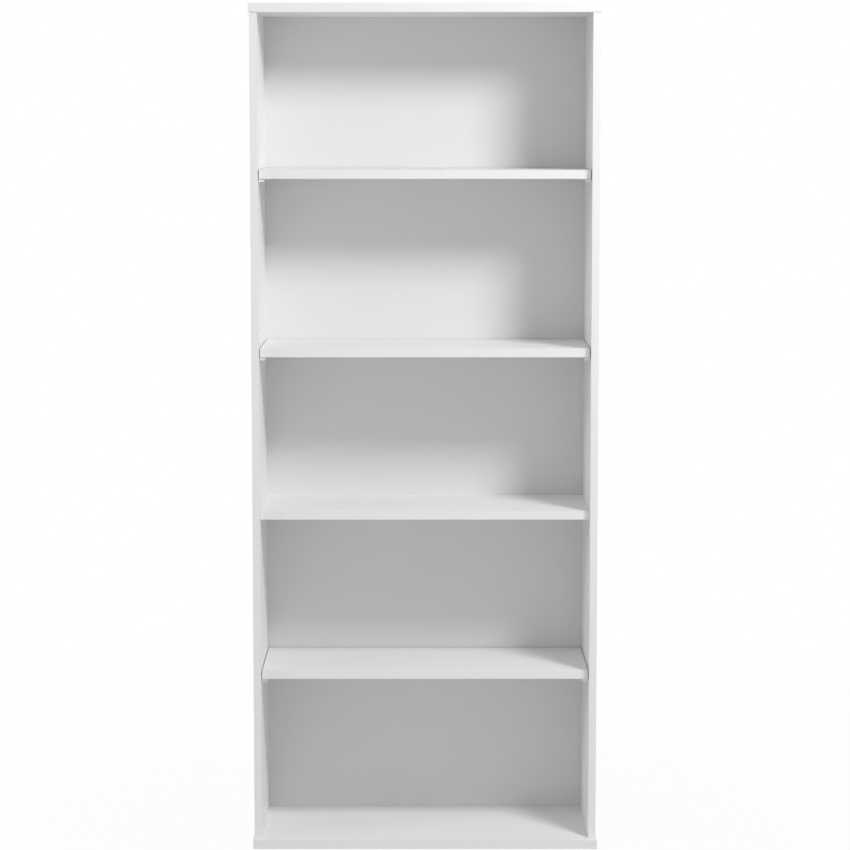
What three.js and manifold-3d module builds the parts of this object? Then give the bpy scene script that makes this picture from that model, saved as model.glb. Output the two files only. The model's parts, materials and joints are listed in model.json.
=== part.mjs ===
// A tall, free-standing bookcase in white laminated board, in millimetres, +Z up.
// The front faces -Y. The origin is on the floor, in the middle of the footprint.
//
// The carcass is a flat-pack one: two sides stand between a top and a bottom panel, and a fixed
// shelf ties them together at mid height. Cam locks, cam bolts and dowels draw these joints shut,
// and a thin back in two sheets keeps the frame square. Three loose shelves lie on plastic pins,
// which push into rows of blind holes in the sides.

import * as THREE from 'three';
import { mergeVertices } from 'three/addons/utils/BufferGeometryUtils.js';
import Module from 'manifold-3d';

// Overall sizes
const overallHeight = 1828; // floor to the top face
const sideSpan = 746; // outer face to outer face of the two sides
const sideDepth = 270; // front edge to rear edge of a side
const sideOverhang = 2; // top and bottom panels reach past each side by this
const topProjection = 2; // the top panel reaches past the sides' front edges by this
const bottomProjection = 23; // and the bottom panel, which makes a low step, by this

// Boards
const sideThickness = 16;
const panelThickness = 19; // top, bottom and every shelf
const backThickness = 3;
const backInset = 2; // edge of the carcass to the edge of the back sheets
const backSplit = 1; // gap between the two back sheets, behind the fixed shelf
const panelSeam = 0.2; // hairline gap between boards that butt together

// Shelves
const fixedShelfTop = 739.5; // floor to the fixed shelf's upper face
const shelfSetback = 17; // shelf fronts stand behind the sides' front edges by this
const shelfEndGap = 1.5; // loose shelf to side, at each end
const shelfRearGap = 1.5; // loose shelf to back sheet
// Each loose shelf stands this far off the place that would give equal bays.
const looseShelves = [
  { name: 'upper', shift: 10.3 },
  { name: 'middle', shift: -9.8 },
  { name: 'lower', shift: 9 },
];

// Shelf pins and their holes
const pinHoleRadius = 2.5;
const pinHoleDepth = 10;
const pinHolePitch = 32;
const pinHoleReach = 2; // spare holes above and below each used one
const pinColumnInset = 28; // front or rear edge of a side to the middle of a column of holes
const pinPegGap = 0.1; // round the peg
const pinPegEndGap = 1; // past the peg's end
const pinBlockLength = 13.7; // how far a pin stands out from the side
const pinBlockWidth = 14;
const pinBlockHeight = 6.5;
const pinNoseRadius = 2.5;
const pinSeatGap = 0.3; // pin to side face, and pin to shelf

// Cam joints
const camPocketRadius = 7.5;
const camGap = 0.3; // round the cam, at its face and under it
const camReach = 24; // joint to the middle of the cam
const camInset = 50; // front or rear edge of a side to the bolt's axis
const camWallUnderBolt = 4.5; // bolt axis to the pocket's floor
const camCrossLength = 8;
const camCrossWidth = 1.4;
const camCrossDepth = 1.8;
const boltBoreGap = 0.5; // round the collar, in the board's edge
const boltThreadRadius = 2.9;
const boltThreadLength = 11;
const boltCollarRadius = 3.5;
const boltCollarHeight = 1.5;
const boltShankRadius = 2.4;
const boltNeckRadius = 1.6;
const boltNeckLength = 2.4;
const boltHeadLength = 2.6;
const boltTipPast = 2; // bolt tip past the middle of the cam
const boltGap = 0.3; // round the thread, and round the head in the cam's slot

// Dowels
const dowelRadius = 4;
const dowelInPanel = 9; // length in the top or bottom panel, or in a side at the fixed shelf
const dowelInEdge = 20; // length in the edge of the board that butts against it
const dowelChamfer = 1;
const dowelGap = 0.2; // round the dowel
const dowelEndGap = 1; // past each of its ends

// Facets
const holeSides = 16;
const pocketSides = 32;
const noseSides = 6;
const cutterOverrun = 2; // a cutter starts this far outside the face that it enters

// Places that follow from the sizes
const panelWidth = sideSpan + 2 * sideOverhang;
const innerWidth = sideSpan - 2 * sideThickness;
const overallDepth = bottomProjection + sideDepth + panelSeam + backThickness;
const bottomFrontY = -overallDepth / 2;
const sideFrontY = bottomFrontY + bottomProjection;
const sideRearY = sideFrontY + sideDepth;
const sideMiddleY = (sideFrontY + sideRearY) / 2;
const shelfFrontY = sideFrontY + shelfSetback;
const backFrontY = sideRearY + panelSeam;
const topUndersideZ = overallHeight - panelThickness;
const sideBottomZ = panelThickness + panelSeam;
const sideTopZ = topUndersideZ - panelSeam;
const fixedUndersideZ = fixedShelfTop - panelThickness;
const backSplitZ = fixedShelfTop - panelThickness / 2;
const pinDrop = pinSeatGap + pinBlockHeight / 2; // shelf underside to a peg's axis
const pinPegLength = pinHoleDepth - pinPegEndGap;
const boltBoreRadius = boltCollarRadius + boltBoreGap;
const camDepths = { side: pocketDepth(sideThickness), shelf: pocketDepth(panelThickness) };

const hands = { left: -1, right: 1 };
const camRows = { front: sideFrontY + camInset, rear: sideRearY - camInset };
const pinRows = { front: sideFrontY + pinColumnInset, rear: sideRearY - pinColumnInset };

const wasm = await Module();
wasm.setup();

const laminate = new THREE.MeshStandardMaterial({ color: 0xf0f0ee, roughness: 0.55, metalness: 0 });
const shelfLaminate = new THREE.MeshStandardMaterial({ color: 0xf2f2f0, roughness: 0.5, metalness: 0 });
const backBoard = new THREE.MeshStandardMaterial({ color: 0xe8e8e6, roughness: 0.7, metalness: 0 });
const whitePlastic = new THREE.MeshStandardMaterial({ color: 0xececea, roughness: 0.4, metalness: 0 });
const zinc = new THREE.MeshStandardMaterial({ color: 0x9c9d9e, roughness: 0.45, metalness: 1 });
const steel = new THREE.MeshStandardMaterial({ color: 0xb4b2a8, roughness: 0.35, metalness: 1 });
const beech = new THREE.MeshStandardMaterial({ color: 0xd0ad7c, roughness: 0.8, metalness: 0 });

// Depth of a cam pocket in a board whose bolt runs along its middle layer.
function pocketDepth(thickness) {
  return thickness / 2 + camWallUnderBolt;
}

// Heights of the loose shelves' upper faces: equal bays in each section, plus each one's shift.
function looseShelfTops() {
  const upperBay = (topUndersideZ - fixedShelfTop - 2 * panelThickness) / 3;
  const lowerBay = (fixedUndersideZ - panelThickness - panelThickness) / 2;
  const evenTops = {
    upper: topUndersideZ - upperBay,
    middle: fixedShelfTop + upperBay + panelThickness,
    lower: panelThickness + lowerBay + panelThickness,
  };
  return looseShelves.map(({ name, shift }) => ({ name, top: evenTops[name] + shift }));
}

// A closed geometry as a solid for joining and cutting.
function toSolid(geometry) {
  const bare = geometry.clone();
  bare.deleteAttribute('normal');
  bare.deleteAttribute('uv');
  const merged = mergeVertices(bare, 1e-4);
  const vertProperties = new Float32Array(merged.getAttribute('position').array);
  const triVerts = new Uint32Array(merged.getIndex().array);
  return new wasm.Manifold(new wasm.Mesh({ numProp: 3, vertProperties, triVerts }));
}

function toGeometry(solid) {
  const { vertProperties, triVerts } = solid.getMesh();
  const geometry = new THREE.BufferGeometry();
  geometry.setAttribute('position', new THREE.BufferAttribute(vertProperties, 3));
  geometry.setIndex(new THREE.BufferAttribute(triVerts, 1));
  geometry.computeVertexNormals();
  return geometry;
}

// A block between two opposite corners.
function block([x0, y0, z0], [x1, y1, z1]) {
  const geometry = new THREE.BoxGeometry(x1 - x0, y1 - y0, z1 - z0);
  return geometry.translate((x0 + x1) / 2, (y0 + y1) / 2, (z0 + z1) / 2);
}

// A round cutter that enters a face at its mouth and goes in along a unit direction. Its flats,
// not its corners, lie on the stated radius, so that a round pin of that radius passes.
function drill(mouth, direction, radius, depth, sides = holeSides) {
  const cornerRadius = radius / Math.cos(Math.PI / sides);
  const geometry = new THREE.CylinderGeometry(cornerRadius, cornerRadius, depth + cutterOverrun, sides);
  const inward = new THREE.Vector3(...direction);
  geometry.applyQuaternion(new THREE.Quaternion().setFromUnitVectors(THREE.Object3D.DEFAULT_UP, inward));
  const middle = new THREE.Vector3(...mouth).addScaledVector(inward, (depth - cutterOverrun) / 2);
  return toSolid(geometry.translate(middle.x, middle.y, middle.z));
}

// A board with its holes cut.
function drilledBoard(low, high, cutters) {
  const holes = cutters.reduce((all, cutter) => all.add(cutter));
  return toGeometry(toSolid(block(low, high)).subtract(holes));
}

// The thread end of a cam bolt and one end of a dowel sit in these, in the board's flat face.
function faceHoles(handX, mouthAt, direction) {
  const bolts = Object.values(camRows).map((y) =>
    drill(mouthAt(handX, y), direction, boltThreadRadius + boltGap, boltThreadLength + boltGap));
  const dowelDepth = dowelInPanel + dowelEndGap;
  const dowel = drill(mouthAt(handX, sideMiddleY), direction, dowelRadius + dowelGap, dowelDepth);
  return [...bolts, dowel];
}

// The edge of the other board has a bore for each bolt, a pocket for each cam and a dowel hole.
// pocketAt gives the pocket's mouth, edgeAt the bore's, and both take a place along Y.
function edgeHoles(pocketAt, pocketDirection, edgeAt, edgeDirection, depth) {
  const camJoints = Object.values(camRows).flatMap((y) => [
    drill(pocketAt(y), pocketDirection, camPocketRadius, depth, pocketSides),
    drill(edgeAt(y), edgeDirection, boltBoreRadius, camReach),
  ]);
  const dowelDepth = dowelInEdge + dowelEndGap;
  const dowel = drill(edgeAt(sideMiddleY), edgeDirection, dowelRadius + dowelGap, dowelDepth);
  return [...camJoints, dowel];
}

function sidePanel(hand) {
  const innerX = (hand * innerWidth) / 2;
  const coreX = innerX + (hand * sideThickness) / 2;
  const outerX = innerX + hand * sideThickness;
  const into = [hand, 0, 0];
  const cutters = looseShelfTops().flatMap(({ top }) => pinHoles(innerX, into, top));
  cutters.push(...faceHoles(innerX, (x, y) => [x, y, backSplitZ], into));
  for (const [edgeZ, down] of [[sideTopZ, -1], [sideBottomZ, 1]]) {
    const pocketAt = (y) => [innerX, y, edgeZ + down * camReach];
    const edgeAt = (y) => [coreX, y, edgeZ];
    cutters.push(...edgeHoles(pocketAt, into, edgeAt, [0, 0, down], camDepths.side));
  }
  const low = [Math.min(innerX, outerX), sideFrontY, sideBottomZ];
  const high = [Math.max(innerX, outerX), sideRearY, sideTopZ];
  return drilledBoard(low, high, cutters);
}

// Two columns of blind holes round one loose shelf's height.
function pinHoles(innerX, into, shelfTop) {
  const usedZ = shelfTop - panelThickness - pinDrop;
  const holes = [];
  for (const y of Object.values(pinRows)) {
    for (let step = -pinHoleReach; step <= pinHoleReach; step += 1) {
      holes.push(drill([innerX, y, usedZ + step * pinHolePitch], into, pinHoleRadius, pinHoleDepth));
    }
  }
  return holes;
}

// The top or the bottom panel. Its holes open in the face that meets the sides.
function endPanel(frontY, lowZ, highZ, holeZ, into) {
  const coreX = (innerWidth + sideThickness) / 2;
  const cutters = Object.values(hands).flatMap((hand) =>
    faceHoles(hand * coreX, (x, y) => [x, y, holeZ], into));
  return drilledBoard([-panelWidth / 2, frontY, lowZ], [panelWidth / 2, sideRearY, highZ], cutters);
}

// The fixed shelf. Its cams open downwards, where they are out of sight.
function fixedShelf() {
  const endX = innerWidth / 2 - panelSeam;
  const cutters = Object.values(hands).flatMap((hand) => {
    const pocketAt = (y) => [hand * (endX - camReach), y, fixedUndersideZ];
    const edgeAt = (y) => [hand * endX, y, backSplitZ];
    return edgeHoles(pocketAt, [0, 0, 1], edgeAt, [-hand, 0, 0], camDepths.shelf);
  });
  return drilledBoard([-endX, shelfFrontY, fixedUndersideZ], [endX, sideRearY, fixedShelfTop], cutters);
}

// A loose shelf, with its underside at z = 0.
function looseShelf() {
  const endX = innerWidth / 2 - shelfEndGap;
  return block([-endX, shelfFrontY, 0], [endX, backFrontY - shelfRearGap, panelThickness]);
}

function backSheet(lowZ, highZ) {
  const edgeX = sideSpan / 2 - backInset;
  return block([-edgeX, backFrontY, lowZ], [edgeX, backFrontY + backThickness, highZ]);
}

// A shelf pin: a block with a rounded lower nose on a round peg. The side's face is at x = 0, the
// peg points along -X, and the block's flat top, at z = 0, carries the shelf.
function shelfPin() {
  const noseX = pinBlockLength - pinNoseRadius;
  const noseZ = pinNoseRadius - pinBlockHeight;
  const outline = new THREE.Shape();
  outline.moveTo(pinSeatGap, 0);
  outline.lineTo(pinSeatGap, -pinBlockHeight);
  outline.lineTo(noseX, -pinBlockHeight);
  outline.absarc(noseX, noseZ, pinNoseRadius, -Math.PI / 2, 0, false);
  outline.lineTo(pinBlockLength, 0);
  outline.closePath();
  const settings = { depth: pinBlockWidth, bevelEnabled: false, curveSegments: noseSides };
  const body = new THREE.ExtrudeGeometry(outline, settings);
  body.rotateX(Math.PI / 2).translate(0, pinBlockWidth / 2, 0);
  const pegRadius = pinHoleRadius - pinPegGap;
  const pegEndX = pinBlockLength / 2;
  const peg = new THREE.CylinderGeometry(pegRadius, pegRadius, pinPegLength + pegEndX, holeSides);
  peg.rotateZ(Math.PI / 2).translate((pegEndX - pinPegLength) / 2, 0, -pinBlockHeight / 2);
  return toGeometry(toSolid(body).add(toSolid(peg)));
}

// A cam lock. Its face is at z = 0 with a cross recess, and its slot opens along +X for the bolt.
function camLock(depth) {
  const radius = camPocketRadius - camGap;
  const length = depth - 2 * camGap;
  const slotHalfWidth = boltThreadRadius + 2 * boltGap;
  const boltAxisZ = camWallUnderBolt + camGap - depth;
  const drum = new THREE.CylinderGeometry(radius, radius, length, pocketSides);
  drum.rotateX(Math.PI / 2).translate(0, 0, -length / 2);
  const slotLow = [-boltTipPast - 1, -slotHalfWidth, -length - cutterOverrun];
  const slotHigh = [radius + cutterOverrun, slotHalfWidth, boltAxisZ + slotHalfWidth];
  const long = camCrossLength / 2;
  const short = camCrossWidth / 2;
  const crossLow = -camCrossDepth;
  const cutters = [
    block(slotLow, slotHigh),
    block([-long, -short, crossLow], [long, short, cutterOverrun]),
    block([-short, -long, crossLow], [short, long, cutterOverrun]),
  ];
  return toGeometry(cutters.reduce((solid, cutter) => solid.subtract(toSolid(cutter)), toSolid(drum)));
}

// A round piece turned about Z, from a profile of [radius, z] points that starts and ends at z's axis.
function turned(profile, sides) {
  const points = profile.map(([radius, z]) => new THREE.Vector2(radius, z));
  return new THREE.LatheGeometry(points, sides).rotateX(Math.PI / 2);
}

// A cam bolt, with the joint at z = 0, its thread below and its head above.
function camBolt() {
  const tip = camReach + boltTipPast;
  const head = tip - boltHeadLength;
  const neck = head - boltNeckLength;
  const collar = boltGap + boltCollarHeight;
  return turned([
    [0, -boltThreadLength],
    [boltThreadRadius, -boltThreadLength],
    [boltThreadRadius, boltGap],
    [boltCollarRadius, boltGap],
    [boltCollarRadius, collar],
    [boltShankRadius, collar],
    [boltShankRadius, neck],
    [boltNeckRadius, neck],
    [boltNeckRadius, head],
    [boltThreadRadius, head],
    [boltThreadRadius, tip],
    [0, tip],
  ], holeSides);
}

// A dowel, with the joint at z = 0 and its longer end above.
function dowel() {
  const tipRadius = dowelRadius - dowelChamfer;
  return turned([
    [0, -dowelInPanel],
    [tipRadius, -dowelInPanel],
    [dowelRadius, dowelChamfer - dowelInPanel],
    [dowelRadius, dowelInEdge - dowelChamfer],
    [tipRadius, dowelInEdge],
    [0, dowelInEdge],
  ], holeSides);
}

function piece(parent, name, geometry, material) {
  const mesh = new THREE.Mesh(geometry, material.clone());
  mesh.name = name;
  parent.add(mesh);
  return mesh;
}

// Turns a piece so that its own Z and X point along two directions at right angles.
function turn(mesh, ownZ, ownX) {
  const zAxis = new THREE.Vector3(...ownZ);
  const xAxis = new THREE.Vector3(...ownX);
  const yAxis = new THREE.Vector3().crossVectors(zAxis, xAxis);
  mesh.quaternion.setFromRotationMatrix(new THREE.Matrix4().makeBasis(xAxis, yAxis, zAxis));
}

// The fasteners of one joint: a bolt and a cam in front and behind, with a dowel between them.
// reach points from the bolt's board into the board that holds the cams, and face out of the cams.
function addJoint(parent, label, joint) {
  const origin = new THREE.Vector3(...joint.origin);
  const reach = new THREE.Vector3(...joint.reach);
  const face = new THREE.Vector3(...joint.face);
  for (const [row, y] of Object.entries(camRows)) {
    const bolt = piece(parent, `cam_bolt_${label}_${row}`, camBolt(), steel);
    turn(bolt, joint.reach, joint.face);
    bolt.position.copy(origin).setY(y);
    const cam = piece(parent, `cam_lock_${label}_${row}`, camLock(joint.depth), zinc);
    turn(cam, joint.face, reach.clone().negate().toArray());
    cam.position.copy(bolt.position).addScaledVector(reach, camReach);
    cam.position.addScaledVector(face, joint.depth - camWallUnderBolt - camGap);
  }
  const peg = piece(parent, `dowel_${label}`, dowel(), beech);
  turn(peg, joint.reach, joint.face);
  peg.position.copy(origin);
}

function addCarcass(parent) {
  for (const [label, hand] of Object.entries(hands)) {
    piece(parent, `${label}_side`, sidePanel(hand), laminate);
  }
  const up = [0, 0, 1];
  const down = [0, 0, -1];
  const topFrontY = sideFrontY - topProjection;
  const topPanel = endPanel(topFrontY, topUndersideZ, overallHeight, topUndersideZ, up);
  const bottomPanel = endPanel(bottomFrontY, 0, panelThickness, panelThickness, down);
  piece(parent, 'top_panel', topPanel, laminate);
  piece(parent, 'bottom_panel', bottomPanel, laminate);
  piece(parent, 'fixed_shelf', fixedShelf(), shelfLaminate);
  const upperSheet = backSheet(backSplitZ + backSplit / 2, overallHeight - backInset);
  const lowerSheet = backSheet(backInset, backSplitZ - backSplit / 2);
  piece(parent, 'upper_back_sheet', upperSheet, backBoard);
  piece(parent, 'lower_back_sheet', lowerSheet, backBoard);
}

function addJoints(parent) {
  const coreX = (innerWidth + sideThickness) / 2;
  const endX = innerWidth / 2 - panelSeam;
  for (const [label, hand] of Object.entries(hands)) {
    const face = [-hand, 0, 0];
    const depth = camDepths.side;
    const top = { origin: [hand * coreX, sideMiddleY, sideTopZ], reach: [0, 0, -1], face, depth };
    const bottom = { origin: [hand * coreX, sideMiddleY, sideBottomZ], reach: [0, 0, 1], face, depth };
    const middle = {
      origin: [hand * endX, sideMiddleY, backSplitZ],
      reach: [-hand, 0, 0],
      face: [0, 0, -1],
      depth: camDepths.shelf,
    };
    addJoint(parent, `top_${label}`, top);
    addJoint(parent, `bottom_${label}`, bottom);
    addJoint(parent, `middle_${label}`, middle);
  }
}

function addLooseShelf(parent, name, shelfTop) {
  const group = new THREE.Group();
  group.position.z = shelfTop - panelThickness;
  parent.add(group);
  piece(group, `${name}_shelf`, looseShelf(), shelfLaminate);
  for (const [row, y] of Object.entries(pinRows)) {
    for (const [label, hand] of Object.entries(hands)) {
      const pin = piece(group, `${name}_pin_${row}_${label}`, shelfPin(), whitePlastic);
      pin.position.set((hand * innerWidth) / 2, y, -pinSeatGap);
      pin.rotation.z = hand > 0 ? Math.PI : 0;
    }
  }
}

const bookcase = new THREE.Group();
addCarcass(bookcase);
addJoints(bookcase);
for (const { name, top } of looseShelfTops()) {
  addLooseShelf(bookcase, name, top);
}

export default bookcase;
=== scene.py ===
# %% [markdown]
# A tall white bookcase, built around its CAD frame
#
# The bookcase is a flat-pack one: white laminated boards, a thin back, a fixed shelf in the middle
# and loose shelves on plastic pins. The CAD model already says where every board and fitting is,
# in metres, with the floor at z = 0 and the open front facing -Y. This lesson takes those places
# and makes the boards' eased edges, the moulded pins, the threaded bolts and every finish.

# %% Load the frame
import json
import math

import bmesh
import bpy
import numpy as np
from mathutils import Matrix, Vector


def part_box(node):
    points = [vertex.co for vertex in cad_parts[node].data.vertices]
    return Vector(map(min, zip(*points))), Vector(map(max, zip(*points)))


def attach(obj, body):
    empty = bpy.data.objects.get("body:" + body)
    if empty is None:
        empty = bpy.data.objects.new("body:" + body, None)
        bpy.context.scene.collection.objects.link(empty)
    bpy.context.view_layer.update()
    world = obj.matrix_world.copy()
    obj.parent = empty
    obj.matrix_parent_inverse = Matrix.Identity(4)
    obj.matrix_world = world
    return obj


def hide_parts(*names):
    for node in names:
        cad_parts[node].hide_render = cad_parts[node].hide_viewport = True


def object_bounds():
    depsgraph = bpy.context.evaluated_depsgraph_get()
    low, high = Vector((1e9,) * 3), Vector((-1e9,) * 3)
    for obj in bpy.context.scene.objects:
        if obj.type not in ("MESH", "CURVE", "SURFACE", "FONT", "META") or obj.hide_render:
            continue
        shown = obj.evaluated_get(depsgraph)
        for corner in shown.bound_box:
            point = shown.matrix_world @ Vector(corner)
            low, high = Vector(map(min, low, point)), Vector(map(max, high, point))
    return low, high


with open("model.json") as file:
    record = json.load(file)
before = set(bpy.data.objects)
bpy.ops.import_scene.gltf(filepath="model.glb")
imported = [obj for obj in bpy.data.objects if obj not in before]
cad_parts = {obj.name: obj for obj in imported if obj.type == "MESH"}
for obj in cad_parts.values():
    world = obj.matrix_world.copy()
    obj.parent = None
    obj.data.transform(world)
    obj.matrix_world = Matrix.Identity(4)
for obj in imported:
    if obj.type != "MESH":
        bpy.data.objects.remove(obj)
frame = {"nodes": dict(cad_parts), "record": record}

cad_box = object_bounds()
nodes = frame["nodes"]
members_of_bodies = frame["record"]["behaviour"]["bodies"]
bodies_of_nodes = {node: body for body, members in members_of_bodies.items() for node in members}


# %% [markdown]
# The camera comes first, because it decides what is worth detail
#
# A furniture picture is taken from straight in front, at about eye height, from far enough away
# that the shelves look nearly flat. The eye's height and distance decide how much of each shelf's
# upper face shows. The tilt and the lens are then worked out so that the bookcase fills the
# picture from edge to edge: its top front edge and its bottom front edge land at chosen heights.

# %% Camera
EYE_HEIGHT = 1.565
EYE_DISTANCE = 5.567  # from the sides' front edges
GAP_ABOVE = 0.0033  # of the picture's height
GAP_BELOW = 0.0010
LENS_SHIFT = -0.02
SENSOR = 36.0  # mm

side_low, side_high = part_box("left_side")
top_low, top_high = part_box("top_panel")
bottom_low, bottom_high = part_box("bottom_panel")


def tilt_and_lens(up, down, high, low):
    """The downward tilt and the focal length, in picture widths, that put one line of sight, at the
    angle up above the level, at the height high over the picture's middle, and another, at the angle
    down below the level, at low under it. With a = up + tilt, tan(a) / tan(up + down - a) = high / low."""
    total = math.tan(up + down)
    share = high / low
    root = math.sqrt((1 + share) ** 2 + 4 * share * total**2)
    tangent = (root - 1 - share) / (2 * total)
    return math.atan(tangent) - up, high / tangent


eye = Vector((0, side_low.y - EYE_DISTANCE, EYE_HEIGHT))
angle_up = math.atan2(top_high.z - eye.z, top_low.y - eye.y)
angle_down = math.atan2(eye.z - bottom_low.z, bottom_low.y - eye.y)
top_line = 0.5 - GAP_ABOVE + LENS_SHIFT
bottom_line = 0.5 - GAP_BELOW - LENS_SHIFT
tilt, focal = tilt_and_lens(angle_up, angle_down, top_line, bottom_line)

camera_data = bpy.data.cameras.new("front_camera")
camera_data.sensor_width = SENSOR
camera_data.lens = focal * SENSOR
camera_data.shift_y = LENS_SHIFT
camera = bpy.data.objects.new("front_camera", camera_data)
camera.location = eye
camera.rotation_euler = (math.pi / 2 - tilt, 0, 0)
bpy.context.scene.collection.objects.link(camera)
bpy.context.scene.camera = camera
print(f"lens {camera_data.lens:.1f} mm, tilted {math.degrees(tilt):.2f} degrees down")

# %% [markdown]
# Two small helpers for the finishes
#
# Shader maths is easier to read as an expression than as a tree of nodes. A Field is one socket of
# a shader, and Python's operators on it add Math nodes. A Finish is one material. Its node method
# is the only way that other nodes are made: a type, the settings, and then the sockets.


# %% Field: a number that varies over a surface
class Field:
    """One output socket. Numbers and other Fields combine with it, and each operator is a Math node."""

    def __init__(self, finish, socket):
        self.finish = finish
        self.socket = socket

    def math(self, operation, *values):
        return self.finish.node("ShaderNodeMath", {"operation": operation}, dict(enumerate(values)))

    def __add__(self, other):
        return self.math("ADD", self, other)

    __radd__ = __add__

    def __sub__(self, other):
        return self.math("SUBTRACT", self, other)

    def __rsub__(self, other):
        return self.math("SUBTRACT", other, self)

    def __mul__(self, other):
        return self.math("MULTIPLY", self, other)

    __rmul__ = __mul__

    def __pow__(self, other):
        return self.math("POWER", self, other)

    def __abs__(self):
        return self.math("ABSOLUTE", self)

    def smaller(self, other):
        return self.math("MINIMUM", self, other)

    def larger(self, other):
        return self.math("MAXIMUM", self, other)

    def sine(self):
        return self.math("SINE", self)

    def rise(self, start, end):
        """0 below start, 1 above end and a smooth rise between them. A start above its end falls."""
        low, high = min(start, end), max(start, end)
        settings = {"interpolation_type": "SMOOTHSTEP", "clamp": True}
        values = {0: self, 1: low, 2: high}
        up = self.finish.node("ShaderNodeMapRange", settings, values)
        return up if start < end else 1 - up


# %% Finish: one material
MIX_FACTOR, MIX_FIRST, MIX_SECOND, MIX_COLOUR = 0, 6, 7, 2  # the sockets of a Mix node for colours


class Finish:
    """A material whose surface is one Principled shader, and the nodes that feed it."""

    def __init__(self, name, **constants):
        self.material = bpy.data.materials.new(name)
        self.material.use_nodes = True
        self.tree = self.material.node_tree
        self.tree.nodes.clear()
        self.surface = self.tree.nodes.new("ShaderNodeBsdfPrincipled")
        self.end = self.tree.nodes.new("ShaderNodeOutputMaterial")
        self.tree.links.new(self.surface.outputs[0], self.end.inputs[0])
        for socket, value in constants.items():
            self.surface.inputs[socket.replace("_", " ")].default_value = value
        self.place = self.node("ShaderNodeTexCoord", output="Object")

    def node(self, kind, settings=None, sockets=None, output=0):
        """Adds one node: its settings first, then its sockets' values or links."""
        made = self.tree.nodes.new(kind)
        for key, value in (settings or {}).items():
            if key == "stops":
                self.set_stops(made.color_ramp, value)
            else:
                setattr(made, key, value)
        for key, value in (sockets or {}).items():
            self.feed(made.inputs[key], value)
        return Field(self, made.outputs[output])

    def feed(self, socket, value):
        """Links a Field to a socket, or sets the socket to a number or a colour."""
        if isinstance(value, Field):
            self.tree.links.new(value.socket, socket)
        elif socket.type == "VECTOR":
            socket.default_value = value[:3]
        else:
            socket.default_value = value

    @staticmethod
    def set_stops(ramp, stops):
        while len(ramp.elements) < len(stops):
            ramp.elements.new(1.0)
        for element, (position, colour) in zip(ramp.elements, stops):
            element.position = position
            element.color = colour

    def set(self, **sockets):
        """What changes over the surface: Base_Color, Roughness, Metallic or Normal."""
        for socket, value in sockets.items():
            self.feed(self.surface.inputs[socket.replace("_", " ")], value)

    def axes(self):
        """The object's own x, y and z, in metres."""
        split = {"Vector": self.place}
        return [self.node("ShaderNodeSeparateXYZ", None, split, axis) for axis in range(3)]

    def stretched(self, scale):
        """The object's coordinates times a scale on each axis."""
        return self.node("ShaderNodeMapping", None, {"Vector": self.place, "Scale": scale})

    def noise(self, where, scale, detail, roughness=0.5):
        sockets = {"Vector": where, "Scale": scale, "Detail": detail, "Roughness": roughness}
        return self.node("ShaderNodeTexNoise", None, sockets)

    def cells(self, where, scale, feature="F1", output="Distance"):
        sockets = {"Vector": where, "Scale": scale}
        return self.node("ShaderNodeTexVoronoi", {"feature": feature}, sockets, output)

    def attribute(self, name):
        return self.node("ShaderNodeAttribute", {"attribute_name": name}, None, "Fac")

    def ramp(self, value, stops):
        return self.node("ShaderNodeValToRGB", {"stops": stops}, {"Fac": value})

    def mix(self, factor, first, second):
        """first where the factor is 0 and second where it is 1, as colours."""
        sockets = {MIX_FACTOR: factor, MIX_FIRST: first, MIX_SECOND: second}
        return self.node("ShaderNodeMix", {"data_type": "RGBA"}, sockets, MIX_COLOUR)

    def shade(self, colour, amount):
        """A colour made lighter or darker by a Field near 1."""
        amounts = self.node("ShaderNodeCombineXYZ", None, {0: amount, 1: amount, 2: amount})
        return self.node("ShaderNodeVectorMath", {"operation": "MULTIPLY"}, {0: colour, 1: amounts})

    def bump(self, height, distance):
        """The surface's normal, tilted as a relief of this height, times the distance, would tilt it."""
        return self.node("ShaderNodeBump", None, {"Height": height, "Distance": distance})


def grey(value):
    return (value, value, value, 1.0)


print("helpers ready:", [m for m in vars(Finish) if not m.startswith("_")])

# %% [markdown]
# White laminate over particle board
#
# The boards are particle board in a white melamine skin. The skin is nearly plain, but it isn't
# perfect: the press leaves a very fine pebble, broad areas differ a little in tone and gloss, and
# handled edges go dull. Where the board was cut or drilled, the brown chips show. The mesh carries
# a "core" value on each face, 1 where chips show, so the material knows without guessing.


# %% Chips and laminate
CHIP_SCALE = 620.0  # chips to the metre
CHIP_FLATNESS = (1.0, 1.0, 1.6)
CHIP_BROWNS = [
    (0.0, (0.20, 0.13, 0.075, 1)),
    (0.35, (0.42, 0.30, 0.185, 1)),
    (1.0, (0.60, 0.47, 0.31, 1)),
]
CHIP_GAP = 0.12  # of a chip


def chip_core(finish):
    """The look of cut particle board: (colour, height) of flat chips of three browns, with dark gaps."""
    where = finish.stretched(CHIP_FLATNESS)
    chips = finish.cells(where, CHIP_SCALE, output="Color")
    tone = finish.node("ShaderNodeSeparateColor", None, {"Color": chips}, 0)
    gaps = finish.cells(where, CHIP_SCALE, "DISTANCE_TO_EDGE").rise(0.0, CHIP_GAP)
    dust = finish.noise(where, scale=2400.0, detail=2.0)
    colour = finish.shade(finish.ramp(tone, CHIP_BROWNS), 0.45 + 0.45 * gaps + 0.2 * dust)
    return colour, 0.5 * tone + 0.5 * gaps


def board_rim(finish, low, high):
    """Distance from the nearest edge of a box-shaped board, in metres. On a face of the box one of the
    three distances to its planes is about 0, so the middle one of the three is the way to the edge."""
    reach = []
    for axis, value in enumerate(finish.axes()):
        middle = (low[axis] + high[axis]) / 2
        half = (high[axis] - low[axis]) / 2
        reach.append(abs(half - abs(value - middle)))
    x, y, z = reach
    return x + y + z - x.smaller(y).smaller(z) - x.larger(y).larger(z)


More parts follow.
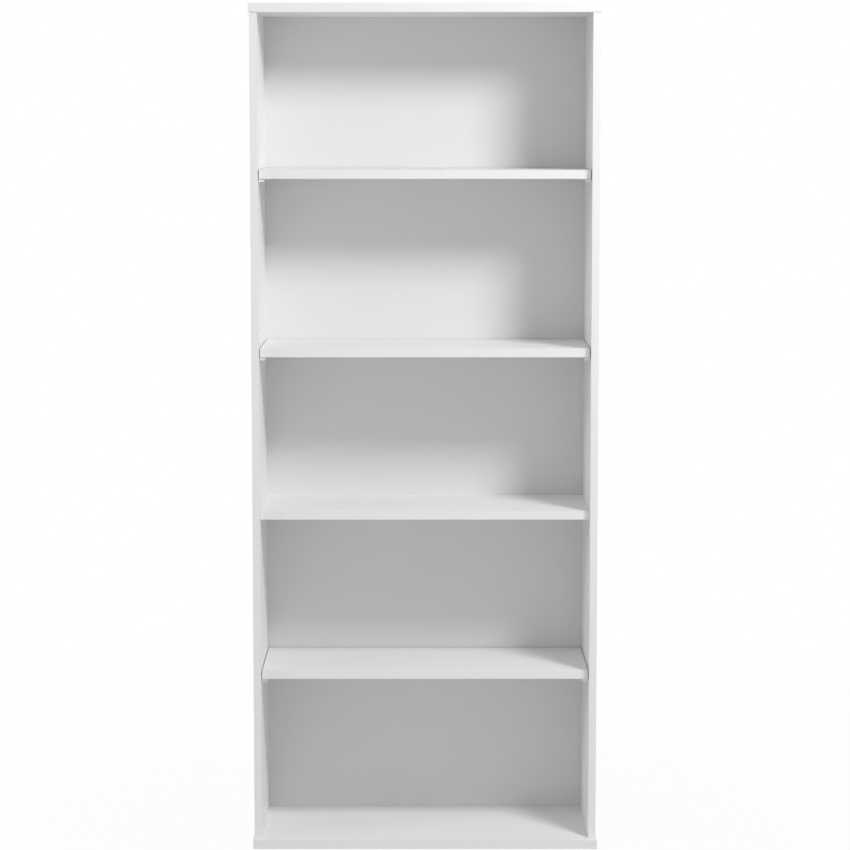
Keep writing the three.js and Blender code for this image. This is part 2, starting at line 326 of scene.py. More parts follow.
SKIN_TONE = 0.88
PEBBLE_SCALE = 1500.0  # pebbles to the metre
PEBBLE_HEIGHT = 0.000012
BAND_THICKNESS = 0.0006  # of the edging strip on the front edges
GLUE_HALF_WIDTH = 0.00018  # of the line behind that strip, which is solid out to GLUE_SOLID
GLUE_SOLID = 0.00006
GLUE_TONE = 0.42
WEAR_WIDTH = 0.0016  # of the handled rim along a board's edges


def laminate(name, low, high):
    """White melamine for one board, between the corners low and high."""
    finish = Finish(name, IOR=1.5, Specular_IOR_Level=0.5)
    rim = board_rim(finish, low, high)
    clouds = finish.noise(finish.place, scale=3.2, detail=3.0)
    press = finish.noise(finish.place, scale=70.0, detail=3.0)
    pebble = finish.noise(finish.place, scale=PEBBLE_SCALE, detail=1.0)
    handled = finish.noise(finish.place, scale=45.0, detail=4.0, roughness=0.65).rise(0.42, 0.72)
    wear = rim.rise(WEAR_WIDTH, 0.0) * handled
    tone = 0.985 + 0.022 * clouds + 0.008 * press - 0.035 * wear
    y = finish.axes()[1]
    glue = abs(y - (low[1] + BAND_THICKNESS)).rise(GLUE_HALF_WIDTH, GLUE_SOLID)
    skin = finish.mix(0.35 * glue, finish.shade(grey(SKIN_TONE), tone), grey(GLUE_TONE))
    core = finish.attribute("core")
    chip_colour, chip_height = chip_core(finish)
    finish.set(Base_Color=finish.mix(core, skin, chip_colour))
    finish.set(Roughness=0.40 + 0.10 * press + 0.06 * clouds + 0.10 * wear + 0.35 * core)
    relief = (1 - core) * (0.6 * pebble + 0.4 * press) + 12 * core * chip_height
    finish.set(Normal=finish.bump(relief, PEBBLE_HEIGHT))
    return finish.material


# %% [markdown]
# The back, the plastic and the metals
#
# The back sheets are thin fibreboard. The face in the bays is printed white and slightly dull. Its
# white is set a little darker than the boards' skin: partly the print's own tone, partly painted
# shade for the bays. The face to the wall is left brown, with the fine mesh that the press's screen
# leaves. The pins are moulded white plastic. The cams are cast zinc, the bolts are plated steel and
# the dowels are beech. Most fittings are hidden in the boards, and they show when the boards come
# apart.


# %% The back's finish
# The print's own off-white, made darker than the boards' skin partly as painted shade for the bays.
BACK_PRINT_TONE_WITH_PAINTED_SHADE = 0.805
PRINT_EDGE = (0.0004, 0.0005)  # the print ends between these distances from the front face
FIBRE_BROWNS = [
    (0.25, (0.115, 0.068, 0.036, 1)),
    (0.55, (0.23, 0.145, 0.08, 1)),
    (0.85, (0.33, 0.22, 0.13, 1)),
]
FIBRE_STRETCH = (1.0, 1.0, 3.5)
SCREEN_PITCH = 0.0016  # of the mesh that the press leaves
SCREEN_HEIGHT = 0.00002
SCUFF_WIDTH = 0.004


def back_sheet(name, low, high):
    """White print on the front face, bare brown fibreboard on the rear face and the cut edges."""
    finish = Finish(name, IOR=1.5)
    rim = board_rim(finish, low, high)
    x, y, z = finish.axes()
    bare = y.rise(low[1] + PRINT_EDGE[0], low[1] + PRINT_EDGE[1])
    clouds = finish.noise(finish.place, scale=2.6, detail=3.0)
    orange_peel = finish.noise(finish.place, scale=420.0, detail=2.0)
    # The white print, darkened in part as painted shade for the bays.
    white = finish.shade(grey(BACK_PRINT_TONE_WITH_PAINTED_SHADE), 0.985 + 0.02 * clouds + 0.01 * orange_peel)
    fibres = finish.noise(finish.stretched(FIBRE_STRETCH), scale=260.0, detail=5.0, roughness=0.7)
    stains = finish.noise(finish.place, scale=7.0, detail=4.0)
    brown = finish.ramp(0.7 * fibres + 0.3 * stains, FIBRE_BROWNS)
    pitch = 2 * math.pi / SCREEN_PITCH
    screen = (x * pitch).sine() * (z * pitch).sine()
    scuffs = rim.rise(SCUFF_WIDTH, 0.0) * finish.noise(finish.place, scale=60.0, detail=3.0).rise(0.5, 0.7)
    brown = finish.shade(brown, 1.0 + 0.10 * screen + 0.35 * scuffs)
    finish.set(Base_Color=finish.mix(bare, white, brown))
    finish.set(Roughness=0.52 + 0.08 * orange_peel + 0.22 * bare)
    relief = (1 - bare) * orange_peel + bare * (2.0 * screen + 3.0 * fibres)
    finish.set(Normal=finish.bump(relief, SCREEN_HEIGHT))
    return finish.material


# %% Plastic, zinc, steel and beech
PLASTIC_TONE = 0.89
ZINC_TINT = (0.56, 0.565, 0.575, 1)
BOLT_TINT = (0.66, 0.60, 0.44, 1)
NAIL_TINT = (0.62, 0.62, 0.63, 1)
BEECH_BROWNS = [
    (0.3, (0.42, 0.27, 0.145, 1)),
    (0.55, (0.60, 0.43, 0.26, 1)),
    (0.8, (0.70, 0.54, 0.36, 1)),
]
GRAIN_STRETCH = 0.12  # of the grain's scale, along the dowel
SCRATCH_STRETCH = (1.0, 1.0, 0.15)
PLASTIC_RELIEF = 0.000008
ZINC_RELIEF = 0.00004
STEEL_RELIEF = 0.000006
BEECH_RELIEF = 0.00005


def moulded_plastic():
    finish = Finish("white_pin_plastic", IOR=1.47, Subsurface_Weight=0.05, Subsurface_Scale=0.002)
    swirl = finish.noise(finish.place, scale=90.0, detail=2.0)
    grain = finish.noise(finish.place, scale=2600.0, detail=1.0)
    finish.set(Base_Color=finish.shade(grey(PLASTIC_TONE), 0.97 + 0.04 * swirl))
    finish.set(Roughness=0.30 + 0.12 * swirl + 0.06 * grain)
    finish.set(Normal=finish.bump(grain, PLASTIC_RELIEF))
    return finish.material


def cast_zinc():
    finish = Finish("cast_zinc", Metallic=1.0)
    skin = finish.noise(finish.place, scale=800.0, detail=4.0, roughness=0.6)
    flow = finish.noise(finish.place, scale=160.0, detail=3.0)
    pits = finish.cells(finish.place, scale=1300.0).rise(0.18, 0.05)
    finish.set(Base_Color=finish.shade(ZINC_TINT, 0.85 + 0.25 * flow - 0.3 * pits))
    finish.set(Roughness=0.42 + 0.2 * skin)
    finish.set(Normal=finish.bump(skin - 0.6 * pits, ZINC_RELIEF))
    return finish.material


def plated_steel(name, tint):
    finish = Finish(name, Metallic=1.0)
    haze = finish.noise(finish.place, scale=220.0, detail=3.0)
    scratches = finish.noise(finish.stretched(SCRATCH_STRETCH), scale=1900.0, detail=2.0)
    finish.set(Base_Color=finish.shade(tint, 0.88 + 0.2 * haze))
    finish.set(Roughness=0.26 + 0.16 * haze + 0.1 * scratches)
    finish.set(Normal=finish.bump(scratches, STEEL_RELIEF))
    return finish.material


def turned_beech(name, stretch):
    """Straight-grained beech, with its pores and flecks drawn out along the dowel's axis."""
    finish = Finish(name, IOR=1.5)
    where = finish.stretched(stretch)
    grain = finish.noise(where, scale=900.0, detail=5.0, roughness=0.65)
    flecks = finish.cells(where, scale=1500.0).rise(0.22, 0.05)
    finish.set(Base_Color=finish.shade(finish.ramp(grain, BEECH_BROWNS), 1 - 0.3 * flecks))
    finish.set(Roughness=0.62 + 0.2 * grain)
    finish.set(Normal=finish.bump(grain - 0.5 * flecks, BEECH_RELIEF))
    return finish.material


plastic = moulded_plastic()
zinc = cast_zinc()
bolt_steel = plated_steel("yellow_plated_steel", BOLT_TINT)
nail_steel = plated_steel("bright_nail_steel", NAIL_TINT)
beech_upright = turned_beech("beech_upright", (1.0, 1.0, GRAIN_STRETCH))
beech_lying = turned_beech("beech_lying", (GRAIN_STRETCH, 1.0, 1.0))
print("finishes:", [m.name for m in bpy.data.materials])

# %% [markdown]
# Boards with eased edges
#
# A saw leaves a sharp corner, and the edging machine then eases it: every outer corner of a board
# is rounded by about half a millimetre, and that thin round catches the light. Bevelling a cube
# would lose the drilled holes, so each drilled board starts from its CAD solid. Its triangles are
# merged into one skin, flat areas are dissolved back to whole faces, and the outer edges are bevelled.

# %% Eased boards from drilled solids
EASE = 0.0006
EASE_STEPS = 3
FLAT_ANGLE = math.radians(1)
SHARP_ANGLE = math.radians(35)
INSIDE = 0.0004  # a face this far inside the board's box is the wall of a hole
FACING = 0.9  # cosine between a face's normal and the side that it belongs to


def merged_triangles(node):
    """A CAD node's corners and triangles as two arrays, with corners that share a place made one."""
    mesh = nodes[node].data
    corners = np.empty(len(mesh.vertices) * 3)
    mesh.vertices.foreach_get("co", corners)
    order = np.empty(len(mesh.loops), int)
    mesh.loops.foreach_get("vertex_index", order)
    places, index = np.unique(corners.reshape(-1, 3).round(7), axis=0, return_inverse=True)
    return places, index.reshape(-1)[order].reshape(-1, 3)


def make_object(name, mesh, node=None, body=None, material=None):
    """Links a mesh as a piece. With a node it stands for that node and rides where the node does."""
    piece = bpy.data.objects.new(name, mesh)
    bpy.context.scene.collection.objects.link(piece)
    if material:
        mesh.materials.append(material)
    if node:
        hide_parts(node)
    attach(piece, body or bodies_of_nodes[node])


def eased(node):
    """The node's solid with its outer edges rounded by EASE."""
    places, triangles = merged_triangles(node)
    mesh = bpy.data.meshes.new(node + "_skin")
    mesh.from_pydata(places.tolist(), [], triangles.tolist())
    shape = bmesh.new()
    shape.from_mesh(mesh)
    bmesh.ops.dissolve_limit(shape, angle_limit=FLAT_ANGLE, verts=shape.verts, edges=shape.edges)
    outer = [e for e in shape.edges if e.is_convex and e.calc_face_angle(0) > SHARP_ANGLE]
    settings = {"offset": EASE, "offset_type": "OFFSET", "segments": EASE_STEPS, "profile": 0.5}
    bmesh.ops.bevel(shape, geom=outer, affect="EDGES", clamp_overlap=True, **settings)
    bmesh.ops.triangulate(shape, faces=[f for f in shape.faces if len(f.verts) > 4])
    shape.to_mesh(mesh)
    shape.free()
    return mesh


def face_arrays(mesh):
    """Centre and normal of each face, as two arrays."""
    centres = np.empty(len(mesh.polygons) * 3)
    normals = np.empty(len(mesh.polygons) * 3)
    mesh.polygons.foreach_get("center", centres)
    mesh.polygons.foreach_get("normal", normals)
    return centres.reshape(-1, 3), normals.reshape(-1, 3)


def mark_core(mesh, low, high, bare_sides):
    """Stores 1 on each face that shows chips: the walls of holes, and the cut edges that bare_sides
    names as (axis, sign)."""
    centres, normals = face_arrays(mesh)
    depth = np.minimum(centres - np.array(low), np.array(high) - centres).min(axis=1)
    core = depth > INSIDE
    for axis, sign in bare_sides:
        core |= normals[:, axis] * sign > FACING
    attribute = mesh.attributes.new("core", "FLOAT", "FACE")
    attribute.data.foreach_set("value", core.astype(np.float32))
    return int(core.sum())


REAR = (1, 1)
LEFT, RIGHT = (0, -1), (0, 1)
DOWN, UP = (2, -1), (2, 1)
drilled = {
    "left_side": [REAR, DOWN, UP],
    "right_side": [REAR, DOWN, UP],
    "top_panel": [REAR],
    "bottom_panel": [REAR],
    "fixed_shelf": [REAR, LEFT, RIGHT],
}
for node, bare in drilled.items():
    low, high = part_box(node)
    skin = eased(node)
    marked = mark_core(skin, low, high, bare)
    make_object(node + "_board", skin, node, material=laminate(node + "_laminate", low, high))
    print(node, len(skin.polygons), "faces,", marked, "of bare core")

# %% [markdown]
# Loose shelves
#
# A loose shelf has no holes, so its shape is pure formula. A cross-section with rounded corners is
# carried along the board, and near each end the section shrinks along a quarter circle, which
# rounds the end's edges too. The whole board is one array of rings.


# %% A board as a carried section
def corner_arcs(half_width, half_height, radius, steps):
    """Rectangles with round corners, one for each row of the sizes: at each corner, the corner's centre
    plus the radius times (cos, sin) over a quarter turn. Each goes round once, anticlockwise."""
    half = np.stack(np.broadcast_arrays(half_width, half_height), axis=-1).reshape(-1, 1, 2)
    radius = np.reshape(radius, (-1, 1, 1))
    quarter = np.linspace(0, math.pi / 2, steps + 1)
    turns = (np.arange(4)[:, None] * math.pi / 2 + quarter).ravel()
    signs = np.repeat(np.array([(1, 1), (-1, 1), (-1, -1), (1, -1)]), steps + 1, axis=0)
    return signs * (half - radius) + radius * np.stack([np.cos(turns), np.sin(turns)], axis=1)


def rings_to_mesh(name, rings):
    """A mesh from an array of rings of points, each ring closed on itself. The first and the last
    ring get an end face, so that the skin is watertight."""
    count, around = rings.shape[:2]
    start = np.arange(around)
    after = np.roll(start, -1)
    base = np.arange(count - 1)[:, None] * around
    quads = np.stack([base + start, base + after, base + around + after, base + around + start], axis=2)
    faces = quads.reshape(-1, 4).tolist()
    faces.append(start[::-1].tolist())
    faces.append((start + (count - 1) * around).tolist())
    mesh = bpy.data.meshes.new(name)
    mesh.from_pydata(rings.reshape(-1, 3).tolist(), [], faces)
    mesh.validate()
    shape = bmesh.new()
    shape.from_mesh(mesh)
    bmesh.ops.recalc_face_normals(shape, faces=shape.faces)
    shape.to_mesh(mesh)
    shape.free()
    return mesh


def rounded_board(name, low, high, radius, steps):
    """Rings along x. With t over a quarter turn, a ring stands radius * (1 - cos t) in from the end
    and its section is radius * (1 - sin t) smaller all round; between the ends it is full size."""
    middle = (np.array(low) + np.array(high)) / 2
    half = (np.array(high) - np.array(low)) / 2
    turn = np.linspace(0, math.pi / 2, steps + 1)
    inward = radius * (1 - np.sin(turn))
    along = -half[0] + radius * (1 - np.cos(turn))
    xs = np.concatenate([along, -along[::-1]])
    shrink = np.concatenate([inward, inward[::-1]])
    section = corner_arcs(half[1], half[2], radius, steps)
    size = np.maximum(np.abs(section) - shrink[:, None, None], 0) * np.sign(section)
    rings = np.empty((len(xs), section.shape[1], 3))
    rings[:, :, 0] = xs[:, None]
    rings[:, :, 1:] = size
    return rings_to_mesh(name, rings + middle)


for node in ("upper_shelf", "middle_shelf", "lower_shelf"):
    low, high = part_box(node)
    skin = rounded_board(node + "_skin", low, high, EASE, EASE_STEPS)
    mark_core(skin, low, high, [REAR, LEFT, RIGHT])
    make_object(node + "_board", skin, node, material=laminate(node + "_laminate", low, high))
    print(node, len(skin.polygons), "faces")

# %% [markdown]
# Back sheets and their nails
#
# The sheets are 3 mm thick and cut square, so their edges are eased only a little. A row of short
# nails goes through them into every board's rear edge. A nail's head is a shallow dome, turned from
# a profile.


# %% Back sheets
SHEET_EASE = 0.0003
SHEET_EASE_STEPS = 2

for node in ("upper_back_sheet", "lower_back_sheet"):
    low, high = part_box(node)
    skin = rounded_board(node + "_skin", low, high, SHEET_EASE, SHEET_EASE_STEPS)
    make_object(node + "_panel", skin, node, material=back_sheet(node + "_fibreboard", low, high))
    print(node, len(skin.polygons), "faces")


# %% Nails
def once_round(sides):
    """The angles of a ring's points."""
    return np.arange(sides) * 2 * math.pi / sides


def turned(radius, height, angle):
    """Rings about the z axis, one for each row: the points (r cos a, r sin a, z). The radius can
    change round a ring as well as from ring to ring."""
    radius, height, angle = np.broadcast_arrays(radius, height, angle)
    return np.stack([radius * np.cos(angle), radius * np.sin(angle), height], axis=2)


def revolved(profile, sides):
    """Rings of a round piece: each point (r, z) of the profile goes once round the z axis."""
    radius, height = np.array(profile).T[:, :, None]
    return turned(radius, height, once_round(sides))


def evenly(start, end, spacing):
    """Places from start to end, no further apart than the spacing."""
    return np.linspace(start, end, int(math.ceil((end - start) / spacing)) + 1)


NAIL_HEAD_RADIUS = 0.0024
NAIL_HEAD_RISE = 0.0007
NAIL_HEAD_SIDES = 12
NAIL_HEAD_SINK = 0.0002  # of the rim into the sheet
NAIL_HEAD_RIM = 0.35  # the rim's share of the rise
NAIL_HEAD_UNDER = 0.96  # the sunk edge's share of the radius
NAIL_HEAD_FLAT = 0.12  # the flat middle's share of the radius
NAIL_HEAD_STEPS = 3
NAIL_SPACING = 0.15
NAIL_EDGE = 0.035  # last nail of a side to the sheet's corner
NAIL_CORNER = 3 * NAIL_EDGE  # and of a cross row

sheet_low, sheet_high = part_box("lower_back_sheet")
upper_low, upper_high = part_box("upper_back_sheet")
fixed_low, fixed_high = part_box("fixed_shelf")
side_middle_x = (side_low.x + side_high.x) / 2
rear_y = sheet_high.y

upright_zs = np.concatenate([
    evenly(sheet_low.z + NAIL_EDGE, sheet_high.z - NAIL_EDGE, NAIL_SPACING),
    evenly(upper_low.z + NAIL_EDGE, upper_high.z - NAIL_EDGE, NAIL_SPACING),
])
cross_xs = evenly(sheet_low.x + NAIL_CORNER, sheet_high.x - NAIL_CORNER, NAIL_SPACING)
cross_zs = [
    (bottom_low.z + bottom_high.z) / 2,
    (fixed_low.z + sheet_high.z) / 2,
    (fixed_high.z + upper_low.z) / 2,
    (top_low.z + top_high.z) / 2,
]
nail_places = [(x, z) for x in (side_middle_x, -side_middle_x) for z in upright_zs]
nail_places += [(x, z) for z in cross_zs for x in cross_xs]
turn = np.linspace(0, math.pi / 2, NAIL_HEAD_STEPS + 1)[:-1]
dome_radius = NAIL_HEAD_RADIUS * np.cos(turn)
dome_height = NAIL_HEAD_RISE * (NAIL_HEAD_RIM + (1 - NAIL_HEAD_RIM) * np.sin(turn))
dome = [(NAIL_HEAD_RADIUS * NAIL_HEAD_UNDER, -NAIL_HEAD_SINK)]
dome += list(zip(dome_radius, dome_height))
dome.append((NAIL_HEAD_RADIUS * NAIL_HEAD_FLAT, NAIL_HEAD_RISE))
head = revolved(dome, NAIL_HEAD_SIDES)[:, :, [0, 2, 1]]  # its axis now points along +y, out of the back


def joined_copies(name, rings, places):
    """One mesh with a copy of the same rings at each place."""
    whole = bmesh.new()
    one = rings_to_mesh(name + "_one", rings)
    for place in places:
        seen = len(whole.verts)
        whole.from_mesh(one)
        whole.verts.ensure_lookup_table()
        bmesh.ops.translate(whole, verts=whole.verts[seen:], vec=place)
    mesh = bpy.data.meshes.new(name)
    whole.to_mesh(mesh)
    whole.free()
    bpy.data.meshes.remove(one)
    return mesh


nails = joined_copies("back_nails", head, [Vector((x, rear_y, z)) for x, z in nail_places])
nails.shade_smooth()
make_object("back_nails", nails, body="carcass", material=nail_steel)
print(len(nail_places), "nails in the back")

# %% [markdown]
# Shelf pins
#
# A pin is one moulding: a block whose flat top carries the shelf, with soft corners and a nose
# that curves up underneath, and a peg with four crush ribs that grip the hole. The block is a set
# of rings along its length, each a rounded rectangle whose size follows the nose's curve. The peg
# is turned, with its radius varied round the axis.

# %% Pin shape
PIN_CORNER = 0.0011
PIN_NOSE = 0.0026
PEG_RADIUS = 0.0024
PEG_RIB = 0.00025
PEG_TIP = 0.0008
PEG_TIP_TAPER = (0.00025, 0.0007)
RIB_START = (0.0006, 0.0010)  # from the block, to the ribs' first and full height
RIB_SHARPNESS = 12
PEG_SIDES = 48
BLOCK_STEPS = 5
BLOCK_START_STEPS = 3
NOSE_STEPS = 8
NOSE_NARROWING = 0.35  # how much the nose also draws in from the sides, as a share of its rise


def pin_block(low, high, nose_sign):
    """Rings along x from the side's face to the nose. At the nose, with t over a quarter turn, the
    ring stands nose * (1 - sin t) short of the tip and its floor has risen by nose * (1 - cos t)."""
    middle_y = (low.y + high.y) / 2
    half_y = (high.y - low.y) / 2
    turn = np.linspace(0, math.pi / 2, NOSE_STEPS + 1)[:-1]
    start = np.linspace(0, math.pi / 2, BLOCK_START_STEPS + 1)
    ease = PIN_CORNER / 2 * (1 - np.sin(start))
    rise = PIN_NOSE * (1 - np.cos(turn))
    length = high.x - low.x
    xs = np.concatenate([PIN_CORNER / 2 * (1 - np.cos(start)), length - PIN_NOSE * (1 - np.sin(turn))])
    narrow = np.concatenate([ease, NOSE_NARROWING * rise])
    floor = np.concatenate([ease, rise])
    half_z = (high.z - low.z - floor) / 2
    section = corner_arcs(half_y - narrow, half_z, np.minimum(PIN_CORNER, half_z * 0.6), BLOCK_STEPS)
    rings = np.empty((*section.shape[:2], 3))
    rings[:, :, 0] = (low.x + xs if nose_sign > 0 else high.x - xs)[:, None]
    rings[:, :, 1] = middle_y + section[:, :, 0]
    rings[:, :, 2] = (high.z - half_z)[:, None] + section[:, :, 1]
    return rings


def peg_rings(root, tip_x, nose_sign):
    """The peg along x. Its radius is the core's plus a rib's height times cos(2a) to the power of
    RIB_SHARPNESS, which makes four narrow ribs, and it tapers over the last stretch to the tip."""
    angle = once_round(PEG_SIDES)
    rib = np.cos(2 * angle) ** RIB_SHARPNESS
    length = abs(tip_x - root.x)
    away = np.array([0, *RIB_START, length * 0.5, length - PEG_TIP, length - PEG_TIP * 0.4, length])
    core = PEG_RADIUS - PEG_RIB - np.array([0, 0, 0, 0, 0, *PEG_TIP_TAPER])
    ribs = PEG_RIB * np.array([0, 0.3, 1, 1, 1, 0.3, 0])
    radius = core[:, None] + ribs[:, None] * rib
    rings = np.empty((len(away), PEG_SIDES, 3))
    rings[:, :, 0] = root.x - nose_sign * away[:, None]
    rings[:, :, 1] = root.y + radius * np.cos(angle)
    rings[:, :, 2] = root.z + radius * np.sin(angle)
    return rings


def join_meshes(name, meshes):
    """One mesh from several, which are used up."""
    whole = bmesh.new()
    for mesh in meshes:
        whole.from_mesh(mesh)
        bpy.data.meshes.remove(mesh)
    joined = bpy.data.meshes.new(name)
    whole.to_mesh(joined)
    whole.free()
    return joined


def smooth(mesh):
    """Shades a mesh smooth, with its sharp edges left sharp."""
    mesh.shade_smooth()
    mesh.set_sharp_from_angle(angle=SHARP_ANGLE)
    return mesh


PIN_SEAT_GAP = 0.0003  # the block to the side's face

pin_nodes = [n for n in nodes if "_pin_" in n]
for node in pin_nodes:
    low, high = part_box(node)
    sign = 1 if node.endswith("left") else -1
    face_x = sign * (side_high.x + PIN_SEAT_GAP)
    block_low, block_high = low.copy(), high.copy()
    if sign > 0:
        block_low.x = face_x
    else:
        block_high.x = face_x
    root = Vector((face_x, (low.y + high.y) / 2, (low.z + high.z) / 2))
    block = rings_to_mesh(node + "_block", pin_block(block_low, block_high, sign))
    peg = rings_to_mesh(node + "_peg", peg_rings(root, low.x if sign > 0 else high.x, sign))
    moulding = smooth(join_meshes(node + "_moulding", [block, peg]))
    make_object(node + "_moulded", moulding, node, material=plastic)
print(len(pin_nodes), "pins of", len(moulding.polygons), "faces")

# %% [markdown]
# Threaded bolts and fluted dowels
#
# A cam bolt screws into one board, and the cam in the other board pulls on its head. The coarse
# thread is one surface: the radius depends on the height and the angle together, so that the crest
# climbs one pitch for each turn. A dowel is a cylinder whose radius ripples round the axis, which
# lets the glue spread.


# %% Frames along a joint
def joint_frame(node, below):
    """Origin on the joint and the direction into the cam's board. below is how much of the piece
    is on the other side of the joint."""
    low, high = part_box(node)
    middle = (low + high) / 2
    if "_middle_" in node:
        reach = Vector((1, 0, 0)) if "_left" in node else Vector((-1, 0, 0))
    else:
        reach = Vector((0, 0, -1)) if "_top_" in node else Vector((0, 0, 1))
    length = abs((high - low).dot(reach))
    return middle - reach * (length / 2 - below), reach, length


def along(rings, origin, reach):
    """Turns rings made about +z so that they run along the direction reach, from the origin."""
    turn = np.array(reach.to_track_quat("Z", "Y").to_matrix())
    return rings @ turn.T + np.array(origin)


# %% Bolts
THREAD_LENGTH = 0.011
THREAD_RADIUS = 0.0029
THREAD_ROOT = 0.0021
THREAD_PITCH = 0.0022
THREAD_STEPS = 56
THREAD_SIDES = 24
THREAD_TAPER = 0.0025
COLLAR_RADIUS = 0.0035
COLLAR_ROUND = 0.0002
COLLAR_TOP = 0.0018  # over the joint
SHANK_RADIUS = 0.0024
NECK_RADIUS = 0.0016
BALL_RADIUS = 0.0029
RECESS_RADIUS = 0.0011
RECESS_DEPTH = 0.0012


def bolt_rings(length):
    """Rings of a bolt about +z, with the joint at z = 0. In the thread, the share s of a turn that
    a point is past the crest gives the radius root + (crest - root) * (|2s - 1|) squared. The rest is
    revolved from points (radius, height), and near the head the heights count back from the tip."""
    angle = once_round(THREAD_SIDES)
    z = np.linspace(-THREAD_LENGTH, 0.0, THREAD_STEPS)
    share = (z[:, None] / THREAD_PITCH - angle / (2 * math.pi)) % 1.0
    crest = np.abs(2 * share - 1) ** 2
    taper = np.clip((z + THREAD_LENGTH) / THREAD_TAPER, 0.15, 1)[:, None]
    radius = (THREAD_ROOT + (THREAD_RADIUS - THREAD_ROOT) * crest) * taper**0.5
    thread = turned(radius, z[:, None], angle)
    tip = length - THREAD_LENGTH
    collar = [
        (SHANK_RADIUS, 0.0002),
        (COLLAR_RADIUS - COLLAR_ROUND, 0.0003),
        (COLLAR_RADIUS, 0.0005),
        (COLLAR_RADIUS, 0.0016),
        (COLLAR_RADIUS - COLLAR_ROUND, COLLAR_TOP),
    ]
    shank = [(SHANK_RADIUS, COLLAR_TOP), (SHANK_RADIUS, tip - 0.0053), (0.0021, tip - 0.0050)]
    neck = [(NECK_RADIUS, tip - 0.0047), (NECK_RADIUS, tip - 0.0029), (0.0018, tip - 0.0027)]
    ball = [(0.0027, tip - 0.0024), (BALL_RADIUS, tip - 0.0021), (BALL_RADIUS, tip - 0.0007)]
    recess = [(0.0026, tip - 0.0002), (0.0020, tip), (RECESS_RADIUS, tip), (0.0008, tip - RECESS_DEPTH)]
    return np.concatenate([thread, revolved(collar + shank + neck + ball + recess, THREAD_SIDES)])


bolt_nodes = [n for n in nodes if n.startswith("cam_bolt")]
for node in bolt_nodes:
    origin, reach, length = joint_frame(node, THREAD_LENGTH)
    bolt = smooth(rings_to_mesh(node + "_turned", along(bolt_rings(length), origin, reach)))
    make_object(node + "_threaded", bolt, node, material=bolt_steel)
print(len(bolt_nodes), "bolts of", len(bolt.polygons), "faces")

# %% Dowels
DOWEL_RADIUS = 0.004
DOWEL_BELOW = 0.009  # the part of a dowel on the near side of the joint
FLUTES = 20
FLUTE_DEPTH = 0.0003
FLUTE_SIDES = 6  # each flute's faces
DOWEL_CHAMFER = 0.001


def dowel_rings(length):
    """Radius minus a flute's depth times (1 - |cos(10 a)|), so that 20 crests touch the full radius,
    with both ends chamfered."""
    angle = once_round(FLUTES * FLUTE_SIDES)
    flute = FLUTE_DEPTH * (1 - np.abs(np.cos(FLUTES / 2 * angle)))
    start = np.array([0, DOWEL_CHAMFER * 0.5, DOWEL_CHAMFER])
    z = np.concatenate([start, [length / 2], length - start[::-1]])
    cut = DOWEL_CHAMFER * np.array([1, 0.45, 0, 0, 0, 0.45, 1])
    radius = DOWEL_RADIUS - cut[:, None] - flute
    return turned(radius, z[:, None] - DOWEL_BELOW, angle)


dowel_nodes = [n for n in nodes if n.startswith("dowel")]
for node in dowel_nodes:
    origin, reach, length = joint_frame(node, DOWEL_BELOW)
    beech = beech_lying if "_middle_" in node else beech_upright
    dowel = smooth(rings_to_mesh(node + "_turned", along(dowel_rings(length), origin, reach)))
    make_object(node + "_fluted", dowel, node, material=beech)
print(len(dowel_nodes), "dowels of", len(dowel.polygons), "faces")

# %% [markdown]
# Cam locks and their covers
#
# The cams keep their CAD shape: a drum with a slot for the bolt's head. Only their finish is new.
# A push-on plastic cover hides each one, so that the insides of the bays stay white. A cover is a
# very low dome with a small notch in its rim, where a fingernail lifts it. It is turned from a
# profile like the nails, and the notch is taken out of the radius on one side.

# %% Cam covers
COVER_RADIUS = 0.0087
COVER_RISE = 0.0009
COVER_LIFT = 0.00005  # over the board's face
COVER_RIM = 0.45  # the rim's share of the rise
COVER_UNDER = 0.985  # the lower edge's share of the radius
COVER_UNDER_RISE = 0.00015
COVER_STEPS = 6
COVER_FULLNESS = 0.35  # the power of the cosine: the smaller, the flatter the dome
COVER_FLAT = 0.0008  # radius of the flat middle
COVER_SIDES = 48
NOTCH_DEPTH = 0.0011
NOTCH_HALF_ANGLE = 0.16
NOTCH_REACH = 0.8  # rings wider than this share of the cover have the notch


def cover_rings():
    """Rings of a low dome about +z. Over a quarter turn, the height rises with the sine and the radius
    falls with a power of the cosine. Near one side, the rim is drawn in by the notch's depth times a
    parabola."""
    turn = np.linspace(0, math.pi / 2, COVER_STEPS + 1)[1:-1]
    rim = COVER_RIM * COVER_RISE
    dome_radius = COVER_RADIUS * np.cos(turn) ** COVER_FULLNESS
    dome_height = rim + (COVER_RISE - rim) * np.sin(turn)
    radius = np.concatenate([[COVER_RADIUS * COVER_UNDER, COVER_RADIUS], dome_radius, [COVER_FLAT]])
    height = np.concatenate([[0, COVER_UNDER_RISE], dome_height, [COVER_RISE]])
    angle = once_round(COVER_SIDES)
    notch = NOTCH_DEPTH * np.maximum(0, 1 - ((angle - math.pi / 2) / NOTCH_HALF_ANGLE) ** 2)
    outer = (radius > NOTCH_REACH * COVER_RADIUS).astype(float)
    return turned(radius[:, None] - outer[:, None] * notch, height[:, None] + COVER_LIFT, angle)


def cover_place(node):
    """Where the cam's pocket opens, and which way: the side's inner face, or the shelf's underside."""
    low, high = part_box(node)
    centre = (low + high) / 2
    if "_middle_" in node:
        return Vector((centre.x, centre.y, fixed_low.z)), Vector((0, 0, -1))
    inward = 1 if "_left_" in node else -1
    return Vector((inward * side_high.x, centre.y, centre.z)), Vector((inward, 0, 0))


cam_nodes = [n for n in nodes if n.startswith("cam_lock")]
for node in cam_nodes:
    cam = nodes[node]
    cam.data.materials.clear()
    cam.data.materials.append(zinc)
    cover = smooth(rings_to_mesh(node + "_cover_shell", along(cover_rings(), *cover_place(node))))
    make_object(node + "_cover", cover, body="carcass", material=plastic)
print(len(cam_nodes), "cams, each with a cover of", len(cover.polygons), "faces")

